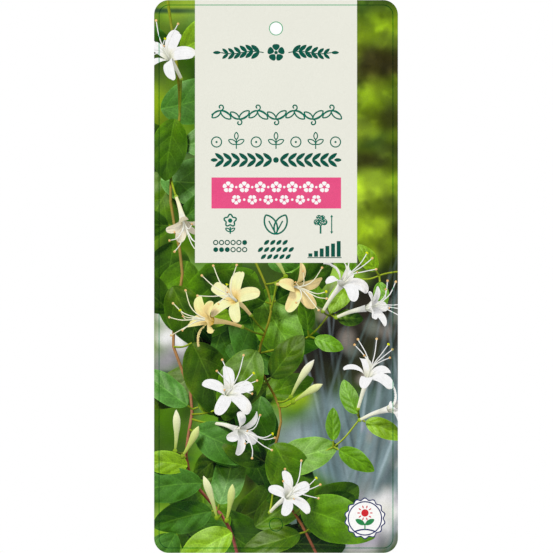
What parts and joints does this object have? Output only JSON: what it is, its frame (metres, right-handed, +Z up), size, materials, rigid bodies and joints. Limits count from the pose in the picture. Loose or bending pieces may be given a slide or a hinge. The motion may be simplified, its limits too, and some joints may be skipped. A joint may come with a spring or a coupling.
{
  "type": "plant label",
  "caption": "Tall hanging plant label of thin printed plastic sheet, with rounded corners and a punched round hang hole near the top.",
  "frame": {"origin": "centre of the hang hole, halfway through the sheet", "axes": "+Z up along the label's height, +X across its width, -Y out of the printed front face"},
  "size_m": [0.099, 0.0006, 0.2245],
  "materials": {
    "printed_sheet": "white polypropylene sheet, printed in full colour on the front and in one colour on the back, satin laminate on both faces"
  },
  "bodies": {
    "root": {"label_card": "printed_sheet"}
  },
  "joints": []
}
